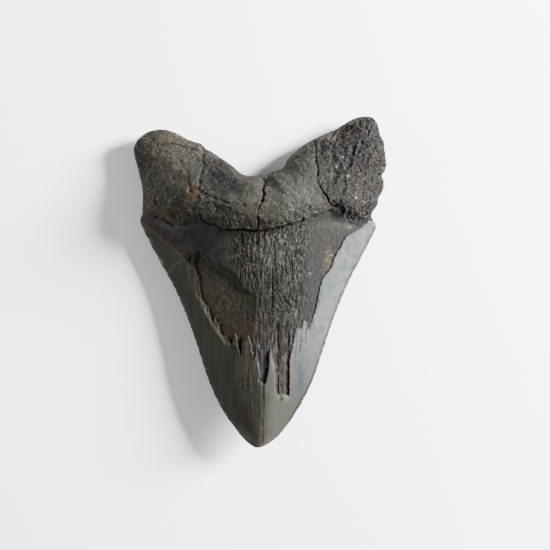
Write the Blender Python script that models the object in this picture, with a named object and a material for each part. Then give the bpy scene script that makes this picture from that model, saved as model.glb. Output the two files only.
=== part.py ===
"""Megalodon tooth: one fossil, lying on its flat outer face with the rounded inner face up.

Frame: +X to the right, +Y from the crown's tip towards the root, +Z up from the face it
rests on. The origin is under the middle of the tooth, at the height of the resting face.
Outlines, lines and heights below are in millimetres; MM turns them into metres.
"""
import math

import bpy
import bmesh
import numpy as np
from mathutils import Vector, noise

MM = 0.001

# Driving sizes
TOOTH_WIDTH = 104.2
TOOTH_LENGTH = 136.3
NECK_THICKNESS = 23.6      # at the crown's base, on the midline
ROOT_THICKNESS = 27.6      # at the swelling of the root above the neck
LOBE_SWELL = 4.5           # how far the two lobes swell above the root's body
LOBE_THINNING = 0.38       # share of its thickness that the body loses towards the lobes' ends
ROOT_RIM_HEIGHT = 7.6      # where the root's two faces meet
ROOT_SHOULDER = 14.0       # how far in from its outline the root rounds over on top
ROOT_HEEL = 9.0            # and underneath
EDGE_THICKNESS = 0.8       # the worn cutting edges
TIP_LIFT = 11.5            # the crown bends up, so its tip is clear of the ground
LIFT_START = 8.0           # where along the crown the bend begins
NECK_Y = 22.0              # where along the tooth the crown meets the root
TIP_ROUND = 7.0            # how far in from its outline the tip rounds over
TIP_ROUND_START, TIP_ROUND_END = -44.0, -62.0

# How the unbent crown changes from the neck to its tip: at the neck, per mm, per mm squared
EDGE_CURVE = (6.2, 0.07, -0.00147)
CREST_CURVE = (NECK_THICKNESS, -0.11, -0.0011)

# Swellings of the root above its body, and hollows of the resting face: x, y, half sizes, height
ROOT_BODY = 0.55 * ROOT_THICKNESS
ROOT_CENTRE = (0.0, 28.0)
ROOT_REACH = (54.0, 42.0)
SWELLINGS = [
    (1.0, 30.0, 34.0, 18.0, ROOT_THICKNESS - ROOT_BODY),
    (-36.0, 41.0, 21.0, 20.0, LOBE_SWELL),
    (38.0, 44.0, 21.0, 22.0, LOBE_SWELL)]
WAISTS = [(0.0, 27.0, 60.0, 7.0, 1.3), (0.0, 45.0, 12.0, 8.0, 1.5)]

# Relief
ENAMEL_STEP = 0.8          # enamel's broken edge above the dentine
SLOT_STEP = 0.9            # straight-walled slot, below the dentine around it
NECK_LIP = 1.0             # root's lower lip above the crown
BOURLETTE_STEP = 0.8       # smooth band above the fibrous dentine
CRACK_DEPTH = 1.5
CRACK_HALF_WIDTH = 0.9
COARSE_BONE_RELIEF = 1.1
STRIA_RELIEF = 0.35

# Mesh
SPHERE_DIVISIONS = 8
TRIANGLES = 9400
CONTACT_SINK = 0.35        # how far the resting patches dip before they are cut flat

# Outline seen from above: root notch, right lobe, right shoulder, tip, left shoulder, left lobe
RIGHT_ROOT = [
    (2.7, 42.2), (3.6, 44.3), (7.2, 45.8), (10.2, 47.3), (11.2, 50.3), (13.0, 52.2), (18.3, 56.5),
    (23.5, 59.3), (28.2, 61.4), (31.0, 62.6), (38.2, 67.0), (43.0, 68.1), (46.5, 67.6), (48.7, 64.6),
    (49.6, 60.6), (51.2, 57.3), (51.5, 53.5), (52.1, 50.0), (51.8, 47.0), (50.3, 43.4), (51.1, 41.0),
    (50.7, 38.0), (48.9, 34.5), (48.7, 32.0), (46.2, 28.0), (46.6, 25.8)]
RIGHT_EDGE = [
    (48.0, 23.4), (47.6, 20.8), (42.3, 10.4), (37.4, 1.1), (33.2, -8.5), (29.5, -18.2), (25.8, -29.2),
    (22.1, -40.0), (16.8, -50.1), (10.0, -59.7), (4.4, -65.6)]
TIP = [(-0.6, -68.15)]
LEFT_EDGE = [
    (-4.8, -66.6), (-10.0, -60.8), (-16.6, -51.2), (-22.1, -38.8), (-26.9, -24.2), (-30.9, -13.4),
    (-35.7, -2.4), (-41.6, 8.1), (-46.7, 17.7), (-49.8, 24.3)]
LEFT_ROOT = [
    (-49.3, 26.6), (-48.8, 29.0), (-48.6, 36.0), (-49.2, 40.5), (-50.6, 46.5), (-52.1, 52.5),
    (-51.7, 56.3), (-49.2, 60.0), (-45.0, 62.2), (-39.8, 62.8), (-35.0, 61.2), (-29.5, 58.3),
    (-24.5, 56.7), (-23.1, 54.9), (-20.7, 53.9), (-16.5, 51.2), (-11.3, 47.6), (-7.6, 44.4),
    (-3.8, 43.6), (-0.4, 43.7), (1.3, 43.0)]
CENTRE = (0.8, 19.3)       # every outline point is in straight sight of this one

# The neck, where the root's bone meets the crown
NECK_LINE = [
    (-49.5, 27.5), (-43.6, 26.8), (-38.2, 24.7), (-33.0, 22.8), (-26.0, 23.6), (-20.0, 23.1),
    (-14.5, 21.2), (-7.0, 21.4), (0.0, 20.8), (8.3, 22.2), (17.8, 25.1), (29.0, 29.7),
    (38.0, 27.5), (47.0, 25.0)]
OPEN_NECK_CRACK = [
    (-24.5, 27.6), (-22.4, 23.9), (-14.5, 21.2), (-7.0, 21.4), (0.0, 20.8), (8.3, 22.2), (17.8, 25.1),
    (24.1, 27.6)]

# Broken border of the enamel, from the right shoulder down, across the crown and up to the left
RIGHT_BORDER = [
    (49.0, 26.5), (44.8, 25.1), (41.9, 22.2), (36.9, 19.3), (33.6, 15.6), (31.1, 11.0), (29.3, 5.6),
    (25.1, 0.2), (23.7, -6.0), (22.4, -12.0), (21.0, -17.0)]
RIGHT_SPLINTERS = [(19.2, -19.2), (17.8, -16.6), (16.0, -19.3), (14.1, -21.3), (13.0, -28.0), (12.0, -32.5)]
SLOT_END = [(11.8, -46.6), (7.1, -46.2)]
SLIVER = [(6.3, -40.0), (4.1, -27.6), (2.6, -39.5)]
LEFT_SPLINTERS = [
    (0.6, -41.4), (0.2, -38.0), (-1.4, -29.4), (-3.0, -31.4), (-4.4, -22.8), (-6.6, -23.4), (-8.1, -30.0),
    (-10.4, -21.4), (-12.0, -26.0), (-13.6, -22.2), (-16.6, -21.3), (-18.5, -14.7)]
LEFT_BORDER = [
    (-20.8, -13.4), (-22.2, -9.8), (-24.6, -6.0), (-25.6, 1.4), (-27.0, 5.6), (-31.1, 9.0),
    (-37.4, 15.2), (-43.6, 20.2), (-50.0, 26.5)]
SLOT = [(7.1, -16.0), (11.9, -16.0), (11.8, -46.6), (7.1, -46.2)]
BOURLETTE_LIP = [(-52.0, 24.0), (-31.1, 12.6), (-24.9, 12.3), (-16.6, 6.9), (-10.4, 2.3), (-2.9, -4.3)]

# Cracks and grooves, each with its depth and half width as shares of the usual ones
CRACKS = [
    ([(2.9, 43.0), (1.0, 37.2), (1.2, 35.5), (-0.6, 28.9), (-0.8, 21.0)], 1.2, 1.0),
    ([(-22.8, 56.0), (-23.7, 50.5), (-23.7, 45.5), (-24.9, 40.1), (-25.7, 33.9)], 0.7, 1.0),
    ([(-23.7, 50.0), (-17.4, 48.0), (-12.4, 44.7)], 0.5, 1.0),
    ([(22.4, 57.5), (22.8, 51.7), (23.6, 44.0), (24.5, 38.4), (28.2, 32.6), (31.1, 30.5)], 1.0, 1.0),
    ([(-43.6, 26.8), (-38.2, 24.7), (-35.3, 23.1)], 0.6, 0.8),
    ([(1.5, -22.2), (1.5, -41.3)], 0.7, 0.8),
    ([(1.2, -41.3), (1.4, -52.0), (1.0, -66.0)], 0.25, 0.7),
    ([(-7.5, 19.3), (-7.5, 12.3)], 0.5, 0.7),
    ([(13.3, 8.1), (13.3, 1.5)], 0.5, 0.7),
]
COARSE_BONE_EDGE = [(22.4, 70.0), (22.8, 51.7), (23.6, 44.0), (24.5, 38.4), (28.2, 32.6), (31.1, 30.5)]
HOLLOWS = [(-14.0, 38.0, 6.5, 4.0, 1.2), (-32.0, 36.0, 5.0, 6.0, -0.6), (-38.0, 56.0, 8.0, 4.0, -0.5)]

# The other face
LABIAL_NECK = [(-50.0, 27.0), (-30.0, 29.5), (-12.0, 33.0), (0.0, 34.5), (12.0, 33.0), (30.0, 29.5), (49.0, 26.0)]
LABIAL_GROOVES = [
    ([(-6.0, 33.0), (-5.0, 18.0), (-3.5, 2.0)], 0.35, 1.2),
    ([(9.0, 33.0), (8.0, 20.0), (6.0, 8.0)], 0.3, 1.2),
    ([(-21.0, 31.0), (-18.0, 20.0), (-15.0, 12.0)], 0.3, 1.2),
    ([(23.0, 31.0), (20.0, 20.0), (17.0, 13.0)], 0.3, 1.2),
]


def smooth_step(low, high, value):
    share = np.clip((value - low) / (high - low), 0.0, 1.0)
    return share * share * (3.0 - 2.0 * share)


def round_curve(points, steps=8):
    """Closed Catmull-Rom curve through the points."""
    knots = np.array(points, float)
    before, after, beyond = np.roll(knots, 1, 0), np.roll(knots, -1, 0), np.roll(knots, -2, 0)
    pieces = []
    for t in np.arange(steps) / steps:
        pieces.append(0.5 * (2 * knots + (after - before) * t
                             + (2 * before - 5 * knots + 4 * after - beyond) * t ** 2
                             + (3 * knots - before - 3 * after + beyond) * t ** 3))
    return np.stack(pieces, axis=1).reshape(-1, 2)


def distance_to_line(xy, line):
    """Distance from each point to an open chain of straight pieces."""
    best = np.full(len(xy), 1e9)
    line = np.array(line, float)
    for start, end in zip(line[:-1], line[1:]):
        along = end - start
        share = np.clip((xy - start) @ along / (along @ along), 0.0, 1.0)
        gap = xy - start - share[:, None] * along
        best = np.minimum(best, np.hypot(gap[:, 0], gap[:, 1]))
    return best


def is_inside(xy, ring):
    """Which points lie inside a closed ring."""
    ring = np.array(ring, float)
    inside = np.zeros(len(xy), bool)
    for (x0, y0), (x1, y1) in zip(ring, np.roll(ring, -1, 0)):
        if y0 == y1:
            continue
        crosses = (y0 > xy[:, 1]) != (y1 > xy[:, 1])
        at_x = x0 + (xy[:, 1] - y0) * (x1 - x0) / (y1 - y0)
        inside ^= crosses & (xy[:, 0] < at_x)
    return inside


def signed_depth(xy, ring):
    """Distance to a closed ring, positive inside it."""
    gap = distance_to_line(xy, list(ring) + [ring[0]])
    return np.where(is_inside(xy, ring), gap, -gap)


def groove(xy, line, depth_share, width_share):
    half_width = CRACK_HALF_WIDTH * width_share
    return CRACK_DEPTH * depth_share * np.clip(1.0 - distance_to_line(xy, line) / half_width, 0.0, 1.0)


def bump(xy, x, y, radius_x, radius_y, height):
    return height * np.exp(-((xy[:, 0] - x) / radius_x) ** 2 - ((xy[:, 1] - y) / radius_y) ** 2)


def lumps(xyz, scale, seed):
    """Smooth noise between about -1 and 1, with lumps of the given size."""
    offset = Vector((seed * 17.0, seed * 5.0, seed * 29.0))
    return np.array([noise.noise(Vector(point) / scale + offset) for point in xyz])


def outline():
    return round_curve(RIGHT_ROOT + RIGHT_EDGE + TIP + LEFT_EDGE + LEFT_ROOT)


def bend(y):
    """How far the crown has bent up from the ground."""
    past_start = np.maximum(LIFT_START - y, 0.0) / (TOOTH_LENGTH / 2.0 + LIFT_START)
    return TIP_LIFT * past_start ** 1.5


def crown_height(y, curve):
    """Height of the cutting edge or of the midline above the resting face."""
    below_neck = NECK_Y - y
    return curve[0] + curve[1] * below_neck + curve[2] * below_neck ** 2 + bend(y)


def neck_blend(xy):
    """0 on the crown, 1 on the root."""
    neck = np.interp(xy[:, 0], *zip(*NECK_LINE))
    return smooth_step(-5.0, 5.0, xy[:, 1] - neck)


def rim_height(xy):
    root = neck_blend(xy)
    return crown_height(xy[:, 1], EDGE_CURVE) * (1.0 - root) + ROOT_RIM_HEIGHT * root


def across_crown(xy):
    """0 on the crown's midline, 1 on its cutting edges."""
    right = np.interp(xy[:, 1], *zip(*[(y, x) for x, y in reversed(RIGHT_EDGE)]))
    left = np.interp(xy[:, 1], *zip(*[(y, x) for x, y in LEFT_EDGE]))
    middle = (right + left) / 2.0
    return np.clip(np.abs(xy[:, 0] - middle) / (0.5 * (right - left)), 0.0, 1.0)


def root_top(xy):
    """Height of the swollen root, away from its rounded rim."""
    outward = np.hypot(*((xy - ROOT_CENTRE) / ROOT_REACH).T)
    body = ROOT_BODY * (1.0 - LOBE_THINNING * smooth_step(0.45, 1.0, outward))
    return body + sum(bump(xy, *swelling) for swelling in SWELLINGS)


def upper_height(xy, depth):
    """Smooth inner face: domed crown, swollen root, rounded lobes."""
    rim = rim_height(xy)
    dome = 2.0 - np.sqrt(1.0 + 3.0 * across_crown(xy) ** 2)
    near_tip = smooth_step(TIP_ROUND_START, TIP_ROUND_END, xy[:, 1])
    tip_round = 1.0 - near_tip * (1.0 - np.clip(depth / TIP_ROUND, 0.0, 1.0)) ** 2
    crown = (crown_height(xy[:, 1], CREST_CURVE) - rim) * dome * tip_round
    shoulder = np.sqrt(1.0 - (1.0 - np.clip(depth / ROOT_SHOULDER, 0.0, 1.0)) ** 2)
    root = (root_top(xy) - rim) * shoulder
    return rim + crown * (1.0 - neck_blend(xy)) + root * neck_blend(xy)


def lower_height(xy, depth):
    """Smooth outer face: nearly flat, with rounded rims and a shallow waist at the neck."""
    rim = rim_height(xy)
    lift = bend(xy[:, 1])
    crown = lift + (rim - lift) * across_crown(xy) ** 2.4
    root = rim * (1.0 - np.sqrt(1.0 - (1.0 - np.clip(depth / ROOT_HEEL, 0.0, 1.0)) ** 2))
    waist = sum(bump(xy, *hollow) for hollow in WAISTS)
    flat = crown * (1.0 - neck_blend(xy)) + root * neck_blend(xy) + waist
    return np.minimum(flat - CONTACT_SINK, rim)


def bare_dentine():
    """Outline of the area that has lost its enamel."""
    return (RIGHT_BORDER + RIGHT_SPLINTERS + SLOT_END + SLIVER + LEFT_SPLINTERS + LEFT_BORDER
            + [(-50.0, 40.0), (50.0, 40.0)])


def upper_relief(xyz):
    """Ledges, cracks and rough bone of the inner face, as a change of height."""
    xy = xyz[:, :2]
    root = neck_blend(xy)
    neck_gap = xy[:, 1] - np.interp(xy[:, 0], *zip(*NECK_LINE))
    on_crown = smooth_step(0.5, -0.5, neck_gap)
    bare = signed_depth(xy, bare_dentine())
    fill = 0.6 * np.exp(-np.abs(neck_gap) / 6.0)
    change = -ENAMEL_STEP * (1.0 - fill) * smooth_step(-0.3, 0.4, bare) * on_crown
    change -= SLOT_STEP * smooth_step(-0.3, 0.4, signed_depth(xy, SLOT))
    band = np.interp(xy[:, 0], *zip(*BOURLETTE_LIP), right=-60.0)
    above_band = (xy[:, 1] - band) * smooth_step(0.0, -8.0, xy[:, 0])
    change += BOURLETTE_STEP * smooth_step(0.0, 1.5, above_band) * on_crown * (bare > 0)
    open_lip = smooth_step(6.0, 0.0, distance_to_line(xy, OPEN_NECK_CRACK))
    change += NECK_LIP * open_lip * smooth_step(-0.4, 0.4, neck_gap) * np.exp(-np.abs(neck_gap) / 8.0)
    change -= groove(xy, OPEN_NECK_CRACK, 0.8, 1.0)
    for line, depth_share, width_share in CRACKS:
        change -= groove(xy, line, depth_share, width_share)
    for hollow in HOLLOWS:
        change -= bump(xy, *hollow)
    edge_x = np.interp(xy[:, 1], *zip(*[(y, x) for x, y in reversed(COARSE_BONE_EDGE)]))
    coarse = smooth_step(0.0, 1.5, xy[:, 0] - edge_x) * root
    slanted = np.column_stack([xy @ (0.8, -0.6), 0.45 * (xy @ (0.6, 0.8)), xyz[:, 2]])
    change += coarse * (COARSE_BONE_RELIEF * lumps(slanted, 3.2, 3) - 0.5)
    change += root * (1.0 - coarse) * 0.5 * lumps(xyz, 6.0, 1)
    stretched = np.column_stack([xy[:, 0], 0.12 * xy[:, 1], 0.0 * xy[:, 0]])
    fibres = smooth_step(0.0, 1.5, bare) * on_crown * smooth_step(-18.0, -8.0, xy[:, 0])
    change += fibres * STRIA_RELIEF * lumps(stretched, 1.8, 2)
    return change


def lower_relief(xyz):
    """Border of the enamel, shallow folds and rough root of the outer face."""
    xy = xyz[:, :2]
    gap = xy[:, 1] - np.interp(xy[:, 0], *zip(*LABIAL_NECK))
    change = 0.5 * smooth_step(-0.4, 0.4, gap) * np.exp(-np.abs(gap) / 5.0)
    change += smooth_step(-1.0, 2.0, gap) * 0.35 * lumps(xyz, 5.0, 4)
    for line, depth_share, width_share in LABIAL_GROOVES:
        change += groove(xy, line, depth_share, width_share)
    return change


def stretch_sphere(mesh):
    """Stretches a sphere's equator to the outline and its two caps to the two faces."""
    unit = np.array([vert.co for vert in mesh.verts])
    ring = outline() - np.array(CENTRE)
    ring_angle = np.unwrap(np.arctan2(ring[:, 1], ring[:, 0]))
    if ring_angle[-1] < ring_angle[0]:
        ring_angle, ring = ring_angle[::-1], ring[::-1]
    reach = np.hypot(ring[:, 0], ring[:, 1])
    angle = np.arctan2(unit[:, 1], unit[:, 0])
    share = np.hypot(unit[:, 0], unit[:, 1])
    radius = share * np.interp(angle, ring_angle, reach, period=2.0 * math.pi)
    xy = np.column_stack([CENTRE[0] + radius * np.cos(angle), CENTRE[1] + radius * np.sin(angle)])
    closed = np.vstack([outline(), outline()[:1]])
    depth = distance_to_line(xy, closed)
    inset = smooth_step(0.0, 1.5, depth)
    upper = upper_height(xy, depth)
    lower = lower_height(xy, depth)
    upper = upper + upper_relief(np.column_stack([xy, upper])) * inset
    lower = lower + lower_relief(np.column_stack([xy, lower])) * inset
    half_edge = EDGE_THICKNESS / 2.0 * np.sqrt(1.0 - np.minimum(share, 1.0) ** 8)
    middle = rim_height(xy)
    upper = np.maximum(upper, middle + half_edge)
    lower = np.minimum(lower, middle - half_edge)
    height = np.where(unit[:, 2] > 1e-4, upper, np.where(unit[:, 2] < -1e-4, lower, middle))
    for vert, (x, y), z in zip(mesh.verts, xy, height):
        vert.co = (x, y, z)


def make_mesh_object(name, mesh, collection):
    data = bpy.data.meshes.new(name)
    mesh.to_mesh(data)
    mesh.free()
    made = bpy.data.objects.new(name, data)
    collection.objects.link(made)
    return made


def thinned(source):
    """The object's mesh with its triangles reduced, flat places first."""
    modifier = source.modifiers.new("Thin out", "DECIMATE")
    modifier.ratio = TRIANGLES / len(source.data.polygons)
    evaluated = source.evaluated_get(bpy.context.evaluated_depsgraph_get())
    mesh = bmesh.new()
    mesh.from_mesh(evaluated.to_mesh())
    evaluated.to_mesh_clear()
    return mesh


def cut_flat_below(mesh):
    """Cuts the patches that touch the ground to one flat height and closes them."""
    everything = mesh.verts[:] + mesh.edges[:] + mesh.faces[:]
    cut = bmesh.ops.bisect_plane(mesh, geom=everything, dist=1e-4, plane_co=(0, 0, 0),
                                 plane_no=(0, 0, 1), clear_inner=True)
    rims = [item for item in cut["geom_cut"] if isinstance(item, bmesh.types.BMEdge)]
    bmesh.ops.holes_fill(mesh, edges=rims, sides=0)
    bmesh.ops.triangulate(mesh, faces=mesh.faces[:])


def centre_and_scale(mesh):
    """Sets the driving width and length, the origin under the middle, and metres."""
    spots = np.array([vert.co for vert in mesh.verts])
    low, high = spots.min(0), spots.max(0)
    middle = Vector(((low[0] + high[0]) / 2.0, (low[1] + high[1]) / 2.0, 0.0))
    factor_x = TOOTH_WIDTH / (high[0] - low[0])
    factor_y = TOOTH_LENGTH / (high[1] - low[1])
    bmesh.ops.translate(mesh, vec=-middle, verts=mesh.verts)
    bmesh.ops.scale(mesh, vec=(factor_x * MM, factor_y * MM, MM), verts=mesh.verts)


def fossil_material():
    material = bpy.data.materials.new("Fossil")
    material.use_nodes = True
    shader = material.node_tree.nodes["Principled BSDF"]
    shader.inputs["Base Color"].default_value = (0.085, 0.080, 0.070, 1.0)
    shader.inputs["Roughness"].default_value = 0.55
    shader.inputs["Metallic"].default_value = 0.0
    return material


def make_tooth(collection):
    sphere = bmesh.new()
    bmesh.ops.create_icosphere(sphere, subdivisions=SPHERE_DIVISIONS, radius=1.0)
    stretch_sphere(sphere)
    full = make_mesh_object("full_relief", sphere, collection)
    mesh = thinned(full)
    bpy.data.objects.remove(full)
    cut_flat_below(mesh)
    centre_and_scale(mesh)
    tooth = make_mesh_object("tooth", mesh, collection)
    tooth.data.materials.append(fossil_material())
    tooth.data.shade_smooth()
    return tooth


def main():
    for old in list(bpy.data.objects):
        bpy.data.objects.remove(old)
    collection = bpy.data.collections.new("megalodon_tooth")
    bpy.context.scene.collection.children.link(collection)
    make_tooth(collection)


main()
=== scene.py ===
"""A megalodon tooth, lying on a pale floor on its flat outer face.

Lengths in the sections on the tooth are millimetres, +X across it, +Y from the crown's tip to
the root and +Z up. They become metres when the finished mesh is made.
"""
import math

import bmesh
import bpy
import numpy as np
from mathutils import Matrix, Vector, kdtree


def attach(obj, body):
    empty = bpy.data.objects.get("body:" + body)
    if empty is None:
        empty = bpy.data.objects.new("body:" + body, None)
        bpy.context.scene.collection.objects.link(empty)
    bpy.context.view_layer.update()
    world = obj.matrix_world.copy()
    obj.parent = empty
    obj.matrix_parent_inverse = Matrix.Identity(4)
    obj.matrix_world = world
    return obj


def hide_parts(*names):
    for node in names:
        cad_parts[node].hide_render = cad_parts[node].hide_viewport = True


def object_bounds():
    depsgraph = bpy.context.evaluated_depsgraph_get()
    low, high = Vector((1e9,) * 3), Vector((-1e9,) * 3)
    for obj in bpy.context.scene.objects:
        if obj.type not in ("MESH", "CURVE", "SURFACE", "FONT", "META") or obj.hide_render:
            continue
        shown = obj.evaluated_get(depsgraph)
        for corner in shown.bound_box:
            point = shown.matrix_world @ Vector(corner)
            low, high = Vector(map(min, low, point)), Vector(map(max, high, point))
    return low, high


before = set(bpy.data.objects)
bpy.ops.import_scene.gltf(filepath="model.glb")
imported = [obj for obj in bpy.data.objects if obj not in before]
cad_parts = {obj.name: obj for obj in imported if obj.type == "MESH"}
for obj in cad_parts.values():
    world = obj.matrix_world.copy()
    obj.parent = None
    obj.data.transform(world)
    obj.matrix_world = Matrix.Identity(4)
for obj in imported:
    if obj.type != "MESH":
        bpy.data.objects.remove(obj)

CAD_LOW, CAD_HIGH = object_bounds()

# ---- Body ----------------------------------------------------------------------------------------
# The tooth grew as one piece: a thick root with two lobes, and a broad crown like half a lens.
# It starts as a sphere whose equator is stretched to the outline, and whose two caps become the
# domed inner face above and the flat outer face below. A fine remesh then evens its surface.

MM = 0.001
TOOTH_WIDTH, TOOTH_LENGTH = [1000.0 * (CAD_HIGH - CAD_LOW)[axis] for axis in (0, 1)]
NECK_THICKNESS = 23.6
ROOT_THICKNESS = 27.6
LOBE_SWELL = 4.5
LOBE_THINNING = 0.38
ROOT_RIM_HEIGHT = 7.6
SHOULDER_ROUNDING = 14.0
UNDERSIDE_ROUNDING = 9.0
TIP_ROUNDING = 9.0
EDGE_THICKNESS = 0.8
EDGE_LEVEL = 6.2
TIP_LIFT = 11.5
LIFT_START = 8.0
NECK_LEVEL = 22.0
NECK_BLEND = 5.0
MESH_PITCH = 0.29
EQUATOR = 1e-4

RIGHT_ROOT = [
    (2.7, 42.2), (3.6, 44.3), (7.2, 45.8), (10.2, 47.3), (11.2, 50.3), (13.0, 52.2), (18.3, 56.5),
    (23.5, 59.3), (28.2, 61.4), (31.0, 62.6), (38.2, 67.0), (43.0, 68.1), (46.5, 67.6), (48.7, 64.6),
    (49.6, 60.6), (51.2, 57.3), (51.5, 53.5), (52.1, 50.0), (51.8, 47.0), (50.3, 43.4), (51.1, 41.0),
    (50.7, 38.0), (48.9, 34.5), (48.7, 32.0), (46.2, 28.0), (46.6, 25.8)]
RIGHT_EDGE = [
    (48.0, 23.4), (47.6, 20.8), (42.3, 10.4), (37.4, 1.1), (33.2, -8.5), (29.5, -18.2), (25.8, -29.2),
    (22.1, -40.0), (17.1, -50.1), (10.7, -59.7), (4.9, -65.6)]
TIP = [(-0.6, -68.15)]
LEFT_EDGE = [
    (-4.8, -66.6), (-10.0, -60.8), (-16.6, -51.2), (-22.1, -38.8), (-26.9, -24.2), (-30.9, -13.4),
    (-35.7, -2.4), (-41.6, 8.1), (-46.7, 17.7), (-49.8, 24.3)]
LEFT_ROOT = [
    (-49.3, 26.6), (-48.8, 29.0), (-48.6, 36.0), (-49.2, 40.5), (-50.6, 46.5), (-52.1, 52.5),
    (-51.7, 56.3), (-49.2, 60.0), (-45.0, 62.2), (-39.8, 62.8), (-35.0, 61.2), (-29.5, 58.3),
    (-24.5, 56.7), (-23.1, 54.9), (-20.7, 53.9), (-16.5, 51.2), (-11.3, 47.6), (-7.6, 44.4),
    (-3.8, 43.6), (-0.4, 43.7), (1.3, 43.0)]
OUTLINE_STEPS = 50
CENTRE = np.array((0.8, 19.3))
NECK_LINE = [
    (-49.5, 27.5), (-43.6, 26.8), (-38.2, 24.7), (-33.0, 22.8), (-26.0, 23.6), (-20.0, 23.1),
    (-14.5, 21.2), (-7.0, 21.4), (0.0, 20.8), (8.3, 22.2), (17.8, 25.1), (29.0, 29.7),
    (38.0, 27.5), (47.0, 25.0)]


def smooth_step(low, high, value):
    share = np.clip((value - low) / (high - low), 0.0, 1.0)
    return share * share * (3.0 - 2.0 * share)


def round_curve(points, steps):
    """Closed Catmull-Rom curve through the points, each stretch cut into steps."""
    knots = np.array(points, float)
    before, after, beyond = np.roll(knots, 1, 0), np.roll(knots, -1, 0), np.roll(knots, -2, 0)
    pieces = []
    for t in np.arange(steps) / steps:
        pieces.append(0.5 * (2 * knots + (after - before) * t
                             + (2 * before - 5 * knots + 4 * after - beyond) * t ** 2
                             + (3 * knots - before - 3 * after + beyond) * t ** 3))
    return np.stack(pieces, axis=1).reshape(-1, 2)


def bump(xy, x, y, radius_x, radius_y, height):
    """A soft round hill in plan, of the given place, half sizes and height."""
    return height * np.exp(-((xy[:, 0] - x) / radius_x) ** 2 - ((xy[:, 1] - y) / radius_y) ** 2)


OUTLINE = round_curve(RIGHT_ROOT + RIGHT_EDGE + TIP + LEFT_EDGE + LEFT_ROOT, OUTLINE_STEPS)
OUTLINE_TREE = kdtree.KDTree(len(OUTLINE))
for number, (x, y) in enumerate(OUTLINE):
    OUTLINE_TREE.insert((x, y, 0.0), number)
OUTLINE_TREE.balance()
ALONG_OUTLINE = np.cumsum(np.hypot(*(OUTLINE - np.roll(OUTLINE, 1, 0)).T))
RIGHT_START = OUTLINE_STEPS * len(RIGHT_ROOT)
TIP_AT = RIGHT_START + OUTLINE_STEPS * len(RIGHT_EDGE)
LEFT_END = TIP_AT + OUTLINE_STEPS * len(LEFT_EDGE)
RIGHT_RIM = OUTLINE[RIGHT_START:TIP_AT + 1][::-1]
LEFT_RIM = OUTLINE[TIP_AT:LEFT_END + 1]


def place_on_outline(xy):
    """Distance from the outline, and how far round it the nearest place is."""
    found = [OUTLINE_TREE.find((x, y, 0.0))[1:] for x, y in xy.tolist()]
    numbers, distance = np.array(found).T
    return distance, ALONG_OUTLINE[numbers.astype(int)]


def neck_gap(xy):
    """How far a point lies past the line where the root begins."""
    return xy[:, 1] - np.interp(xy[:, 0], *zip(*NECK_LINE))


def root_share(xy):
    """0 on the crown, 1 on the root, with a soft step between."""
    return smooth_step(-NECK_BLEND, NECK_BLEND, neck_gap(xy))


def bend(y):
    """How far the crown has bent up from the floor."""
    past_start = np.maximum(LIFT_START - y, 0.0) / (TOOTH_LENGTH / 2.0 + LIFT_START)
    return TIP_LIFT * past_start ** 1.5


def rim_height(xy):
    """Height of the outline, where the inner and the outer face meet."""
    below_neck = NECK_LEVEL - xy[:, 1]
    edge = EDGE_LEVEL + 0.07 * below_neck - 0.00147 * below_neck ** 2 + bend(xy[:, 1])
    root = root_share(xy)
    return edge * (1.0 - root) + ROOT_RIM_HEIGHT * root


def across_crown(xy):
    """0 on the crown's midline, 1 on its cutting edges."""
    right = np.interp(xy[:, 1], RIGHT_RIM[:, 1], RIGHT_RIM[:, 0])
    left = np.interp(xy[:, 1], LEFT_RIM[:, 1], LEFT_RIM[:, 0])
    half = np.maximum(0.5 * (right - left), 0.1)
    return np.clip(np.abs(xy[:, 0] - (right + left) / 2.0) / half, 0.0, 1.0)


def upper_height(xy, depth):
    """Height of the domed inner face; depth is the distance in from the outline."""
    rim = rim_height(xy)
    below_neck = NECK_LEVEL - xy[:, 1]
    crest = NECK_THICKNESS - 0.11 * below_neck - 0.0011 * below_neck ** 2 + bend(xy[:, 1])
    tip_round = 1.0 - (1.0 - np.clip((xy[:, 1] - TIP[0][1]) / TIP_ROUNDING, 0.0, 1.0)) ** 2
    crown = (crest - rim) * (2.0 - np.sqrt(1.0 + 3.0 * across_crown(xy) ** 2)) * tip_round
    outward = np.hypot(xy[:, 0] / 54.0, (xy[:, 1] - 28.0) / 42.0)
    body = 0.55 * ROOT_THICKNESS * (1.0 - LOBE_THINNING * smooth_step(0.45, 1.0, outward))
    swell = bump(xy, 1.0, 30.0, 34.0, 18.0, 0.45 * ROOT_THICKNESS)
    lobes = bump(xy, -36.0, 41.0, 21.0, 20.0, LOBE_SWELL) + bump(xy, 38.0, 44.0, 21.0, 22.0, LOBE_SWELL)
    shoulder = np.sqrt(1.0 - (1.0 - np.clip(depth / SHOULDER_ROUNDING, 0.0, 1.0)) ** 2)
    root = (body + swell + lobes - rim) * shoulder
    share = root_share(xy)
    return rim + crown * (1.0 - share) + root * share


def lower_height(xy, depth):
    """Height of the flat outer face, with a waist under the neck and under the notch."""
    rim = rim_height(xy)
    lift = bend(xy[:, 1])
    crown = lift + (rim - lift) * across_crown(xy) ** 2.4
    root = rim * (1.0 - np.sqrt(1.0 - (1.0 - np.clip(depth / UNDERSIDE_ROUNDING, 0.0, 1.0)) ** 2))
    waist = bump(xy, 0.0, 27.0, 60.0, 7.0, 1.3) + bump(xy, 0.0, 45.0, 12.0, 8.0, 1.5)
    share = root_share(xy)
    return np.minimum(crown * (1.0 - share) + root * share + waist, rim)


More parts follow.
